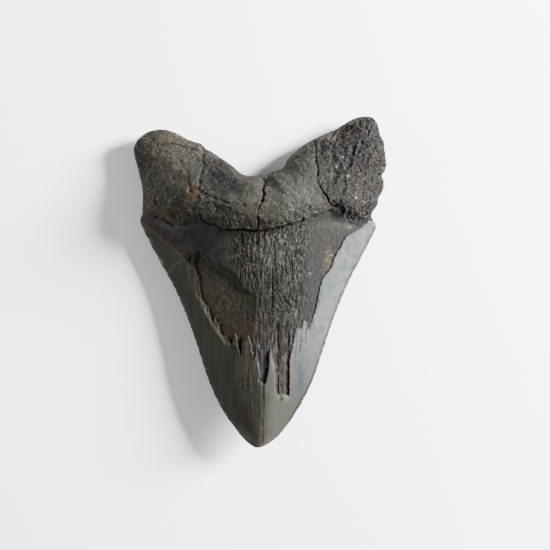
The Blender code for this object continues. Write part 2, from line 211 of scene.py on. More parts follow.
def stretch_to_body(unit):
    """Moves the points of a unit sphere to the smooth body of the tooth."""
    ring = OUTLINE - CENTRE
    ring_angle = np.unwrap(np.arctan2(ring[:, 1], ring[:, 0]))[::-1]
    reach = np.hypot(ring[:, 0], ring[:, 1])[::-1]
    angle = np.arctan2(unit[:, 1], unit[:, 0])
    share = np.hypot(unit[:, 0], unit[:, 1])
    radius = share * np.interp(angle, ring_angle, reach, period=2.0 * math.pi)
    xy = CENTRE + np.column_stack([radius * np.cos(angle), radius * np.sin(angle)])
    depth = place_on_outline(xy)[0]
    middle = rim_height(xy)
    half_edge = EDGE_THICKNESS / 2.0 * np.sqrt(1.0 - np.minimum(share, 1.0) ** 8)
    upper = np.maximum(upper_height(xy, depth), middle + half_edge)
    lower = np.minimum(lower_height(xy, depth), middle - half_edge)
    height = np.where(unit[:, 2] > EQUATOR, upper, np.where(unit[:, 2] < -EQUATOR, lower, middle))
    return np.column_stack([xy, height])


def read_points(mesh):
    flat = np.empty(len(mesh.vertices) * 3, np.float32)
    mesh.vertices.foreach_get("co", flat)
    return flat.reshape(-1, 3).astype(float)


def write_points(mesh, points):
    mesh.vertices.foreach_set("co", points.astype(np.float32).ravel())
    mesh.update()


def bake_modifiers(piece):
    """Turns a piece's modifiers into its own mesh."""
    graph = bpy.context.evaluated_depsgraph_get()
    baked = bpy.data.meshes.new_from_object(piece.evaluated_get(graph))
    piece.modifiers.clear()
    piece.data = baked


sphere = bmesh.new()
bmesh.ops.create_icosphere(sphere, subdivisions=8, radius=1.0)
body_mesh = bpy.data.meshes.new("fossil_tooth")
sphere.to_mesh(body_mesh)
sphere.free()
write_points(body_mesh, stretch_to_body(read_points(body_mesh)))
tooth = bpy.data.objects.new("fossil_tooth", body_mesh)
bpy.context.scene.collection.objects.link(tooth)
even = tooth.modifiers.new("Even surface", "REMESH")
even.mode = "VOXEL"
even.voxel_size = MESH_PITCH * 1.0
bake_modifiers(tooth)

# ---- Crown: enamel and the bare dentine ----------------------------------------------------------
# Glossy enamel a millimetre thick covers the crown. Much of the inner face has lost it: the break
# runs down from the right shoulder in splinters, round a straight-walled slot and a thin sliver,
# and up again to the left shoulder. Inside the break the fibrous dentine lies bare.

ENAMEL_STEP = 0.95
SLOT_STEP = 0.32
RECESS_STEP = 0.9
HAIRLINE_DEPTH = 0.14
SPLINTER_RELIEF = 0.16
STRAND_RELIEF = 0.13
BUNDLE_RELIEF = 0.12
CRUMB_RELIEF = 0.07
UPPER_CRUMB_RELIEF = 0.09
CRUMBLY_PIT_DEPTH = 0.3
REACH = 8.0

RIGHT_BORDER = [
    (49.0, 26.6), (47.1, 24.7), (44.8, 25.1), (43.2, 23.9), (41.9, 22.2), (40.3, 21.4), (38.6, 20.2),
    (36.9, 19.3), (35.3, 18.1), (34.0, 16.8), (33.2, 14.4), (32.0, 12.7), (31.1, 11.0), (29.9, 9.0),
    (29.4, 6.4), (27.8, 4.0), (26.1, 1.9), (25.1, 0.2), (24.6, -2.6), (23.7, -6.0), (23.2, -8.5),
    (22.8, -11.0), (21.8, -13.4), (21.2, -16.4)]
RIGHT_SPLINTERS = [
    (20.3, -19.3), (19.5, -19.4), (19.2, -16.4), (17.8, -16.0), (17.1, -19.1), (16.2, -19.5),
    (15.0, -18.9), (14.1, -21.3), (13.7, -24.2), (13.1, -27.6), (12.4, -30.5), (12.0, -32.5)]
SLOT_END = [(11.8, -46.6), (9.4, -46.0), (7.1, -46.3)]
SLIVER = [
    (6.5, -45.0), (6.2, -38.8), (5.8, -35.0), (5.0, -32.5), (4.6, -29.6), (4.1, -26.8), (3.7, -29.2),
    (3.5, -33.0), (2.9, -37.5), (2.4, -40.5), (1.8, -41.8)]
LEFT_SPLINTERS = [
    (1.2, -41.5), (0.0, -40.8), (-0.8, -40.2), (0.2, -38.8), (0.0, -37.1), (-0.8, -34.6),
    (-1.2, -31.3), (-1.5, -28.8), (-3.1, -31.7), (-2.5, -29.0), (-3.3, -28.8), (-3.7, -26.3),
    (-4.1, -23.4), (-5.0, -21.9), (-6.2, -23.2), (-7.1, -24.2), (-7.5, -28.4), (-8.1, -29.8),
    (-8.7, -27.6), (-9.3, -25.5), (-9.5, -22.6), (-10.4, -20.9), (-11.6, -26.3), (-12.4, -24.7),
    (-13.3, -23.0), (-14.1, -22.2), (-15.4, -22.2), (-16.6, -21.3), (-17.0, -19.3), (-17.2, -17.2),
    (-18.1, -16.8), (-18.5, -14.3), (-19.5, -16.4)]
LEFT_BORDER = [
    (-20.3, -15.1), (-21.0, -13.4), (-21.2, -11.4), (-22.0, -10.1), (-23.2, -8.9), (-24.3, -7.2),
    (-24.7, -5.1), (-25.1, -2.7), (-25.5, -0.2), (-25.7, 1.9), (-26.4, 4.0), (-27.0, 5.6),
    (-28.6, 6.9), (-31.1, 9.0)]
LEFT_HAIRLINE = [
    (-31.1, 9.0), (-33.2, 11.9), (-35.3, 13.5), (-37.4, 15.2), (-39.4, 16.8), (-41.5, 18.5),
    (-43.6, 20.2), (-45.6, 22.2), (-50.0, 26.0)]
HAIRLINE_BRANCHES = [
    [(-31.1, 9.0), (-33.2, 8.1), (-34.9, 7.3), (-36.1, 6.1), (-36.9, 4.0)],
    [(-29.5, 6.9), (-29.3, 4.0), (-29.3, -0.2)]]
BARE_DENTINE = (RIGHT_BORDER + RIGHT_SPLINTERS + SLOT_END + SLIVER + LEFT_SPLINTERS + LEFT_BORDER
                + LEFT_HAIRLINE[1:] + [(-52.0, 45.0), (52.0, 45.0)])
SLOT = [(6.9, -15.5), (11.9, -15.5)] + SLOT_END
RECESS = [
    (-27.0, 10.0), (-24.9, 12.0), (-20.8, 9.8), (-16.6, 6.5), (-13.3, 4.4), (-10.4, 1.9), (-6.2, -2.2),
    (-3.4, -4.4), (4.0, -8.0), (4.0, -26.0), (-14.5, -26.0), (-20.0, -18.0), (-27.0, -5.0),
    (-28.0, 6.0)]
BOURLETTE_LIP = [
    (-31.1, 12.0), (-24.9, 12.3), (-20.8, 10.2), (-16.6, 6.9), (-13.3, 4.8), (-10.4, 2.3), (-8.3, 0.2),
    (-6.2, -1.8), (-4.6, -3.5), (-2.9, -4.3)]
BOURLETTE = [
    (-50.0, 26.0), (-43.6, 20.2), (-37.4, 15.2), (-31.1, 9.4), (-28.0, 10.5), (-24.9, 12.3),
    (-20.8, 10.2), (-16.6, 6.9), (-13.3, 4.8), (-10.4, 2.3), (-6.2, -1.8), (-2.0, 3.0), (-2.0, 22.0),
    (-20.0, 25.0), (-30.0, 26.0), (-38.0, 27.0), (-50.0, 32.0)]


def near_line(xy, line, reach=REACH):
    """Distance to a chain of straight pieces, where it is within reach, and reach elsewhere."""
    line = np.array(line, float)
    low, high = line.min(0) - reach, line.max(0) + reach
    close = np.all((xy > low) & (xy < high), axis=1)
    near = xy[close]
    best = np.full(len(near), float(reach))
    for start, end in zip(line[:-1], line[1:]):
        along = end - start
        share = np.clip((near - start) @ along / math.hypot(*along) ** 2, 0.0, 1.0)
        gap = near - start - share[:, None] * along
        best = np.minimum(best, np.hypot(gap[:, 0], gap[:, 1]))
    distance = np.full(len(xy), float(reach))
    distance[close] = best
    return distance


def is_inside(xy, ring):
    ring = np.array(ring, float)
    inside = np.zeros(len(xy), bool)
    for (x0, y0), (x1, y1) in zip(ring, np.roll(ring, -1, 0)):
        if y0 == y1:
            continue
        crosses = (y0 > xy[:, 1]) != (y1 > xy[:, 1])
        at_x = x0 + (xy[:, 1] - y0) * (x1 - x0) / (y1 - y0)
        inside ^= crosses & (xy[:, 0] < at_x)
    return inside


def depth_in_ring(xy, ring):
    """Distance to a closed ring, positive inside it."""
    gap = near_line(xy, list(ring) + [ring[0]])
    return np.where(is_inside(xy, ring), gap, -gap)


def lattice_noise(points, seed):
    """Smooth noise from -1 to 1 with one lump for each unit of length."""
    steps = np.array((73856093, 19349663, 83492791))
    cell = np.floor(points)
    part = points - cell
    part = part * part * (3.0 - 2.0 * part)
    shares = [(1.0 - part[:, axis], part[:, axis]) for axis in range(3)]
    first_key = cell.astype(np.int64) @ steps + seed * 7919
    total = np.zeros(len(points))
    for corner in np.ndindex(2, 2, 2):
        key = first_key + np.array(corner) @ steps
        key = (key ^ (key >> 13)) * 1274126177
        value = ((key ^ (key >> 16)) & 0xFFFF) / 32767.5 - 1.0
        weight = shares[0][corner[0]] * shares[1][corner[1]] * shares[2][corner[2]]
        total += weight * value
    return total


def lumps(points, size, seed, octaves=3):
    """Layers of noise, each half the size of the one before, from about -1 to 1."""
    total = np.zeros(len(points))
    scaled = points / size
    for octave in range(octaves):
        total += lattice_noise(scaled * 2.0 ** octave, seed + octave) * 0.5 ** octave
    return total / (2.0 - 0.5 ** (octaves - 1)) * 1.6


def wander(points, reach, size, seed):
    """The points' places from above, shifted a little, so that what is drawn there is ragged."""
    shift_x = lumps(points, size, seed) * reach
    shift_y = lumps(points, size, seed + 40) * reach
    return points[:, :2] + np.column_stack([shift_x, shift_y])


def split_across(points, direction, along_share):
    """Places for noise drawn out along one direction of the plan."""
    direction = np.array(direction, float) / math.hypot(*direction)
    across = np.array((direction[1], -direction[0]))
    xy = points[:, :2]
    return np.column_stack([xy @ across, (xy @ direction) * along_share, points[:, 2] * 0.5])


def crown_marks(points):
    """Where each finish of the inner face of the crown lies, as fields over the points."""
    ragged = wander(points, 0.16, 0.9, 3)
    marks = {}
    marks["gap"] = neck_gap(wander(points, 0.35, 2.5, 5))
    marks["crown"] = smooth_step(0.35, -0.35, marks["gap"])
    marks["bare"] = depth_in_ring(ragged, BARE_DENTINE)
    marks["slot"] = depth_in_ring(ragged, SLOT)
    x = ragged[:, 0]
    recess = depth_in_ring(wander(points, 0.4, 2.0, 7), RECESS)
    marks["recess"] = smooth_step(-0.1, 1.6, recess) * smooth_step(1.0, -9.0, x) * marks["crown"]
    bourlette = depth_in_ring(wander(points, 0.5, 3.0, 9), BOURLETTE)
    marks["bourlette"] = smooth_step(-0.3, 0.9, bourlette) * smooth_step(-6.0, -17.0, x) * marks["crown"]
    marks["lip_gap"] = near_line(ragged, BOURLETTE_LIP)
    marks["hairline"] = near_line(wander(points, 0.25, 1.5, 11), LEFT_HAIRLINE, 3.0)
    for branch in HAIRLINE_BRANCHES:
        marks["hairline"] = np.minimum(marks["hairline"], near_line(ragged, branch, 3.0))
    marks["fibres"] = (smooth_step(0.1, 0.9, marks["bare"]) * marks["crown"]
                       * (1.0 - marks["bourlette"]))
    crumbly = bump(ragged, 9.5, -8.0, 8.5, 8.5, 1.1)
    marks["crumbly"] = np.clip(crumbly, 0.0, 1.0) * marks["fibres"] * (1.0 - marks["recess"])
    marks["smooth"] = smooth_step(14.0, 20.5, wander(points, 1.5, 5.0, 13)[:, 0] - 0.08 * points[:, 1])
    near_break = smooth_step(-13.0, -1.0, marks["bare"]) * (1.0 - smooth_step(-0.2, 0.0, marks["bare"]))
    marks["split"] = (near_break * smooth_step(-15.0, -22.0, points[:, 1])
                      * smooth_step(-17.0, -11.0, x) * (1.0 - 0.75 * smooth_step(0.5, 2.0, x)))
    return marks


def crown_relief(points, marks):
    """Height changes on the inner face of the crown."""
    bare, crown = marks["bare"], marks["crown"]
    x = points[:, 0]
    near_neck = 0.6 * np.exp(-np.abs(marks["gap"]) / 6.0)
    at_hairline = smooth_step(-28.0, -33.0, x)
    change = -ENAMEL_STEP * (1.0 - near_neck) * smooth_step(-0.22, 0.22, bare) * crown
    change *= (1.0 - 0.85 * at_hairline) * (1.0 - 0.4 * smooth_step(14.0, 20.0, x))
    change *= 1.0 - 0.5 * smooth_step(6.6, 8.6, x) * smooth_step(-12.0, -18.0, points[:, 1])
    change += 0.75 * ENAMEL_STEP * marks["bourlette"] * smooth_step(-33.0, -28.0, x)
    change -= SLOT_STEP * smooth_step(-0.15, 0.2, marks["slot"]) * smooth_step(-14.0, -24.0, points[:, 1])
    long_splinters = lumps(split_across(points, (0.03, 1.0), 0.05), 0.75, 27, 2)
    change += SPLINTER_RELIEF * marks["split"] * long_splinters
    change -= RECESS_STEP * marks["recess"]
    change -= HAIRLINE_DEPTH * np.exp(-(marks["hairline"] / 0.3) ** 2) * crown
    fibres = marks["fibres"]
    upper_part = smooth_step(-6.0, 8.0, points[:, 1])
    quiet_right = (1.0 - 0.85 * marks["smooth"]) * (1.0 - 0.3 * marks["recess"])
    quiet_left = 1.0 - 0.5 * smooth_step(-8.0, -12.0, x)
    strong = fibres * quiet_right * quiet_left
    strands = lumps(split_across(points, (0.0, 1.0), 0.16), 0.6, 21, 2)
    bundles = lumps(split_across(points, (0.02, 1.0), 0.12), 1.7, 23, 2)
    crumbs = lumps(points, 0.62, 25, 2)
    change += (strong * (STRAND_RELIEF * strands + BUNDLE_RELIEF * bundles)
               + strong * upper_part * UPPER_CRUMB_RELIEF * crumbs)
    change += fibres * CRUMB_RELIEF * crumbs
    change -= CRUMBLY_PIT_DEPTH * marks["crumbly"] * smooth_step(0.1, 0.6, lumps(points, 0.95, 29, 2))
    return change


# ---- Cracks --------------------------------------------------------------------------------------
# The fossil cracked as it dried and settled. Dark dirt fills the deep cracks: the open one along
# the neck, one down the middle of the root, one across each lobe, and fine ones towards the tip.
# Each is a line with its half width, depth and darkness.

CRACK_SEED = 31
CRACKS = [
    ([(2.9, 44.0), (3.1, 42.6), (2.4, 41.0), (1.7, 39.4)], 0.55, 1.5, 0.75),
    ([(1.7, 39.4), (1.0, 37.6), (1.5, 35.9), (1.0, 34.4), (0.5, 32.4)], 0.7, 1.8, 1.0),
    ([(0.5, 32.4), (-0.3, 30.6), (-0.5, 28.9), (-1.2, 27.2), (-0.7, 24.4), (-1.0, 21.0)], 0.4, 0.7, 0.55),
    ([(-22.8, 56.5), (-23.7, 52.5), (-23.6, 50.5), (-23.2, 47.1), (-23.7, 45.5), (-24.6, 43.6)],
     1.2, 0.7, 0.4),
    ([(-24.6, 43.6), (-24.9, 40.1), (-25.7, 33.9)], 0.8, 0.3, 0.2),
    ([(-23.7, 50.0), (-19.9, 49.4), (-17.4, 48.0), (-14.9, 46.3), (-12.4, 44.5)], 1.0, 0.5, 0.4),
    ([(22.4, 59.5), (22.4, 57.5), (22.9, 54.6), (22.7, 51.7), (23.3, 48.4), (23.7, 45.5), (23.4, 43.0),
      (23.7, 40.5)], 0.38, 0.9, 0.65),
    ([(23.7, 40.5), (24.5, 38.4), (25.7, 36.4), (27.0, 34.7), (28.2, 32.6), (29.5, 31.0), (31.1, 30.5)],
     0.45, 1.1, 0.85),
    ([(-43.6, 26.8), (-41.5, 26.1), (-38.2, 24.7), (-35.3, 23.1)], 0.5, 0.9, 0.9),
    ([(-24.5, 27.6), (-23.9, 25.6), (-22.4, 24.2), (-19.9, 23.3), (-17.6, 22.5), (-16.2, 21.3),
      (-14.5, 21.2)], 0.36, 0.9, 0.75),
    ([(-14.5, 21.3), (-11.0, 21.0), (-7.1, 21.5), (-3.4, 20.7), (-0.8, 20.9), (3.3, 20.8), (6.0, 21.9),
      (8.3, 22.3), (12.4, 23.5), (17.8, 25.1)], 0.46, 1.4, 0.9),
    ([(17.8, 25.1), (21.0, 26.2), (24.1, 27.6), (28.0, 29.2)], 0.36, 0.7, 0.5),
    ([(1.5, -21.8), (1.4, -28.4), (1.6, -34.6), (1.5, -41.3)], 0.6, 0.15, 0.2),
    ([(1.5, -41.3), (1.2, -45.0), (1.5, -49.1), (1.2, -55.4), (0.8, -61.6), (1.2, -65.7)],
     0.36, 0.2, 0.8),
    ([(-7.9, -39.6), (-7.6, -41.6), (-7.1, -43.9)], 0.4, 0.5, 0.85),
    ([(-2.9, -38.7), (-2.8, -44.0), (-3.0, -49.0)], 0.25, 0.2, 0.5),
    ([(-7.5, 19.6), (-7.6, 16.0), (-7.4, 11.5)], 0.3, 0.5, 0.7),
    ([(13.3, 8.6), (13.1, 5.0), (13.4, 0.8)], 0.3, 0.4, 0.55),
    ([(4.8, 6.0), (5.0, -2.0), (4.7, -10.0)], 0.3, 0.4, 0.5),
    ([(19.4, -14.0), (18.9, -19.0), (18.4, -25.0)], 0.3, 0.2, 0.85),
    ([(17.3, -15.5), (16.9, -21.0), (16.2, -29.0)], 0.3, 0.2, 0.9),
    ([(14.9, -19.5), (14.6, -25.0), (14.1, -33.0)], 0.24, 0.12, 0.7),
    # Partly painted shade: a dark line at the foot of the slot's right wall, which faces away from the
    # lamp, with a shallow crack.
    ([(11.7, -24.0), (11.7, -33.0), (11.5, -46.4)], 0.22, 0.3, 0.75),
    ([(-8.1, -33.0), (-7.9, -36.5), (-8.2, -39.0)], 0.26, 0.12, 0.8),
    ([(-5.4, -30.0), (-5.2, -37.0), (-5.5, -44.0)], 0.26, 0.12, 0.7),
    ([(-4.0, -46.0), (-4.3, -50.0), (-4.0, -54.0)], 0.28, 0.12, 0.8),
    ([(-1.0, -42.0), (-0.9, -48.0), (-1.2, -53.0)], 0.22, 0.1, 0.7),
    ([(-41.5, 56.0), (-35.3, 56.7), (-29.0, 54.6), (-24.2, 53.6)], 0.6, 0.5, 0.55),
    ([(-33.0, 49.0), (-29.5, 44.0), (-29.0, 39.0)], 1.0, 0.3, 0.15),
    ([(-24.0, 36.2), (-18.0, 33.5), (-12.0, 31.6), (-6.5, 31.0)], 1.1, 0.45, 0.25),
    ([(12.5, 49.6), (16.0, 51.5), (21.5, 56.0)], 0.5, 0.45, 0.45),
    ([(31.0, 50.0), (29.5, 45.0), (30.5, 40.0)], 0.7, 0.3, 0.25),
    ([(41.0, 60.0), (38.5, 54.0), (37.0, 47.0), (38.0, 41.0)], 0.7, 0.2, 0.2),
    ([(7.1, -17.0), (7.2, -46.0)], 0.24, 0.3, 0.6),
    # Partly painted shade: a dark line along the right edge of the break, which faces away from the lamp,
    # with a shallow crack.
    (RIGHT_BORDER[8:], 0.26, 0.4, 0.9),
]


def crack_field(points, cracks, seed):
    """Depth and darkness of a list of cracks at each point."""
    ragged = wander(points, 0.22, 1.3, seed)
    thickness = 0.9 + 0.6 * lumps(points, 2.2, seed + 1, 2)
    faded = 0.55 + 0.45 * smooth_step(-0.35, 0.35, lumps(points, 3.4, seed + 2, 2))
    depth = np.zeros(len(points))
    dark = np.zeros(len(points))
    for line, half_width, deep, darkness in cracks:
        distance = near_line(ragged, line, 4.0)
        share = np.clip(1.0 - distance / (half_width * thickness), 0.0, 1.0)
        depth = np.maximum(depth, deep * share ** 0.8)
        dark = np.maximum(dark, darkness * smooth_step(0.0, 0.55, share))
        dark = np.maximum(dark, 0.25 * darkness * np.exp(-(distance / (2.2 * half_width)) ** 2))
    return depth, dark * faded


# ---- Root ----------------------------------------------------------------------------------------
# Porous bone. Its lower lip stands a little over the crown along the neck. The left lobe is worn
# smooth and lumpy. A groove parts the fine plate in the middle from the right lobe, whose surface
# has broken away to coarse, deeply pitted bone with slanted ridges.

NECK_LIP = 0.9
RIDGE_RELIEF = 0.42
KNOB_RELIEF = 0.24
HOLE_DEPTH = 0.3
BREAK_DEPTH = 0.25
SWELL_RELIEF = 0.4
KNUCKLE_RELIEF = 0.16
GRAIN_RELIEF = 0.16
PORE_DEPTH = 0.16
COARSE_EDGE = [
    (22.2, 72.0), (22.4, 57.5), (22.8, 51.7), (23.5, 45.5), (23.7, 40.5), (25.7, 36.4), (28.2, 32.6),
    (31.1, 30.0), (35.0, 26.0), (36.0, 20.0)]
SMOOTH_RIM = [(23.0, 60.0), (28.0, 62.4), (34.0, 65.4), (38.5, 67.5)]
# Place, half sizes and depth of each hollow; a negative depth is a rise.
HOLLOWS = [
    (-19.5, 43.0, 4.5, 3.2, 1.3), (-13.5, 39.0, 5.0, 3.0, 1.4), (-8.0, 36.4, 4.0, 2.4, 0.9),
    (-16.0, 32.5, 8.0, 2.6, -0.9), (-33.0, 52.6, 8.0, 1.2, 0.35), (-34.0, 45.0, 6.0, 2.0, -0.4),
    (-32.0, 36.0, 5.0, 6.0, -0.6), (-38.0, 56.0, 8.0, 4.0, -0.5), (-18.0, 44.0, 6.0, 3.0, 0.5),
    (-42.0, 34.0, 4.0, 5.0, 0.5), (-9.0, 29.0, 7.0, 3.0, -0.4), (12.0, 34.0, 8.0, 5.0, -0.3)]
LOBE_PITS = [(-43.6, 39.7), (-37.4, 37.2), (-42.3, 32.6), (-32.4, 25.4), (-28.6, 36.8)]


def root_marks(points, marks):
    """Adds where the root and its coarse, broken right lobe lie."""
    xy = wander(points, 0.5, 2.0, 51)
    edge_x = np.interp(xy[:, 1], *zip(*[(y, x) for x, y in reversed(COARSE_EDGE)]))
    marks["root"] = 1.0 - marks["crown"]
    marks["coarse"] = smooth_step(0.0, 0.9, xy[:, 0] - edge_x) * smooth_step(21.0, 26.0, xy[:, 1])
    marks["coarse"] *= smooth_step(1.4, 2.6, near_line(xy, SMOOTH_RIM, 6.0))


def root_relief(points, marks):
    """Change of height, and swelling along the surface's own normal."""
    root, coarse = marks["root"], marks["coarse"]
    gap = marks["gap"]
    lip = smooth_step(-28.0, -22.0, points[:, 0]) * smooth_step(30.0, 22.0, points[:, 0])
    change = NECK_LIP * lip * root * np.exp(-np.maximum(gap, 0.0) / 7.0)
    for hollow in HOLLOWS:
        change -= bump(points, *hollow)
    for x, y in LOBE_PITS:
        change -= bump(points, x, y, 0.8, 0.8, 0.8)
    ridges = 1.0 - np.abs(lumps(split_across(points, (0.35, 0.94), 0.3), 3.4, 61, 2)) * 2.0
    knobs = lumps(points, 1.3, 63, 3)
    holes = smooth_step(0.3, 0.8, lumps(points, 1.2, 65, 2))
    rough = coarse * (RIDGE_RELIEF * ridges + KNOB_RELIEF * knobs - HOLE_DEPTH * holes - BREAK_DEPTH)
    fine = (1.0 - coarse) * root
    swells = lumps(points, 7.0, 67, 3)
    grains = lumps(points, 1.5, 69, 3)
    pores = smooth_step(0.35, 0.8, lumps(points, 0.95, 71, 2))
    calm = 1.0 - 0.6 * np.clip(bump(points, -14.0, 38.0, 9.0, 6.0, 1.0), 0.0, 1.0)
    knuckles = lumps(points, 3.2, 75, 3)
    rough += fine * (SWELL_RELIEF * swells + KNUCKLE_RELIEF * knuckles
                     + calm * (GRAIN_RELIEF * grains - PORE_DEPTH * pores))
    return change, rough


# ---- Cutting edges -------------------------------------------------------------------------------
# Both edges of the crown are serrated, eight or nine small teeth to the centimetre, worn almost away
# near the tip and along the left side.

SERRATION_PITCH = 1.15
SERRATION_DEPTH = 0.34
SERRATION_REACH = 1.0


def crown_edge(points):
    """1 along the serrated part of the crown's rim, 0 on the root and at the worn tip."""
    return smooth_step(-1.0, -3.0, neck_gap(points[:, :2])) * smooth_step(-63.0, -52.0, points[:, 1])


def serrate(points, normals, distance, along):
    """Notches cut in from the rim of the crown."""
    wear = (0.75 + 0.4 * lumps(points, 4.0, 81, 2)) * (0.05 + 0.95 * smooth_step(-2.0, 6.0, points[:, 0]))
    wave = 0.5 - 0.5 * np.cos(2.0 * math.pi * along / SERRATION_PITCH)
    near_rim = np.clip(1.0 - distance / SERRATION_REACH, 0.0, 1.0)
    inward = -normals * np.array((1.0, 1.0, 0.35))
    return inward * (crown_edge(points) * wear * SERRATION_DEPTH * wave ** 2 * near_rim)[:, None]


# ---- Outer face ----------------------------------------------------------------------------------
# The face the tooth lies on is nearly flat. Its enamel is whole, with long hairline cracks and a
# few shallow folds below the arched border with the root, whose bone is rough and pored.

OUTER_LIP = 0.5
FOLD_RELIEF = 0.22
OUTER_CRACK_SEED = 33
OUTER_NECK = [
    (-50.0, 27.0), (-30.0, 29.5), (-12.0, 33.0), (0.0, 34.5), (12.0, 33.0), (30.0, 29.5), (49.0, 26.0)]
OUTER_CRACKS = [
    ([(-6.0, 33.0), (-5.4, 24.0), (-5.0, 12.0), (-3.5, -6.0), (-2.9, -20.0)], 0.35, 0.4, 0.8),
    ([(9.0, 33.0), (8.4, 20.0), (6.0, 8.0), (5.6, -4.0)], 0.3, 0.35, 0.7),
    ([(-21.0, 31.0), (-18.6, 20.0), (-15.0, 6.0)], 0.3, 0.35, 0.7),
    ([(23.0, 31.0), (20.4, 20.0), (17.0, 10.0)], 0.3, 0.35, 0.7),
    ([(2.0, -18.0), (1.2, -34.0), (1.6, -52.0), (0.6, -64.0)], 0.28, 0.3, 0.7),
    ([(-30.0, 29.0), (-24.0, 40.0), (-26.0, 52.0)], 0.4, 0.7, 0.8),
    ([(3.0, 34.5), (3.6, 39.0), (2.8, 44.0)], 0.5, 0.9, 0.9),
    ([(30.0, 29.5), (34.0, 40.0), (33.0, 50.0)], 0.4, 0.6, 0.8)]


def outer_marks(points):
    """Where enamel and root lie on the outer face."""
    gap = points[:, 1] - np.interp(points[:, 0], *zip(*OUTER_NECK)) + 0.7 * lumps(points, 3.0, 91)
    crown = smooth_step(0.3, -0.3, gap)
    return {"gap": gap, "crown": crown, "root": 1.0 - crown}


def outer_relief(points, marks):
    """Change of height: positive goes up, into the tooth."""
    root = marks["root"]
    change = -OUTER_LIP * root * np.exp(-np.abs(marks["gap"]) / 5.0)
    folds = lumps(split_across(points, (0.0, 1.0), 0.15), 4.0, 93, 2)
    change += marks["crown"] * FOLD_RELIEF * folds * smooth_step(-30.0, -2.0, marks["gap"])
    change += marks["crown"] * 0.04 * lumps(points, 5.0, 94, 2)
    pores = smooth_step(0.3, 0.75, lumps(points, 1.1, 95, 2))
    change += root * (0.35 * lumps(points, 6.0, 97, 3) + 0.16 * lumps(points, 1.4, 99, 3) + 0.35 * pores)
    return change


# ---- Carving -------------------------------------------------------------------------------------
# The relief of both faces is carved into the even surface, and the mesh is thinned again where it
# is smooth. Nothing goes below the surface the tooth lies on or past the box of the solid.

MOST_TRIANGLES = 194000
RIM_SOFTENING = 0.9


def read_normals(mesh):
    flat = np.empty(len(mesh.vertices) * 3, np.float32)
    mesh.vertex_normals.foreach_get("vector", flat)
    return flat.reshape(-1, 3).astype(float)


def carve(points, normals):
    """The points with serrations, cracks and the relief of both faces."""
    xy = points[:, :2]
    upper = points[:, 2] > rim_height(xy)
    depth, along = place_on_outline(xy)
    inset = smooth_step(0.0, RIM_SOFTENING, depth)
    moved = points + serrate(points, normals, depth, along)
    top = points[upper]
    marks = crown_marks(top)
    root_marks(top, marks)
    change, swell = root_relief(top, marks)
    change += crown_relief(top, marks) - crack_field(top, CRACKS, CRACK_SEED)[0]
    moved[upper, 2] += change * inset[upper]
    moved[upper] += normals[upper] * swell[:, None]
    base = points[~upper]
    marks = outer_marks(base)
    change = outer_relief(base, marks) + crack_field(base, OUTER_CRACKS, OUTER_CRACK_SEED)[0]
    moved[~upper, 2] += change * inset[~upper]
    return moved


def fit_in_box(points):
    """The points in metres, with the solid's width and length, and never outside its box."""
    low, high = points.min(0), points.max(0)
    middle = (low + high) / 2.0
    factor = np.array((TOOTH_WIDTH / (high[0] - low[0]), TOOTH_LENGTH / (high[1] - low[1]), 1.0))
    shift = np.array((middle[0], middle[1], 0.0))
    metres = (points - shift) * factor * MM
    return np.clip(metres, np.array(CAD_LOW), np.array(CAD_HIGH))


write_points(tooth.data, carve(read_points(tooth.data), read_normals(tooth.data)))
thin = tooth.modifiers.new("Thin out", "DECIMATE")
thin.ratio = min(1.0, MOST_TRIANGLES / (2.0 * len(tooth.data.polygons)))
thin.use_collapse_triangulate = True
bake_modifiers(tooth)

# ---- Colour --------------------------------------------------------------------------------------
# Minerals stained the fossil as it lay in the ground: grey bone, dark neck band, rust and tan patches. The
# enamel is olive at the left and blue-grey at the right: partly its own colour, partly painted shade on
# the left half and painted light on the right half. Each mark is an attribute of the mesh that the
# material reads. A stain or a flecked place is a soft patch: place, half sizes, colour and strength. A few
# stains are painted shade: in the hollow of the root plate and below the lip of the neck band.


def tone(red, green, blue):
    """A colour given on the usual 0 to 255 screen scale, as light."""
    return tuple(((value / 255.0 + 0.055) / 1.055) ** 2.4 for value in (red, green, blue))


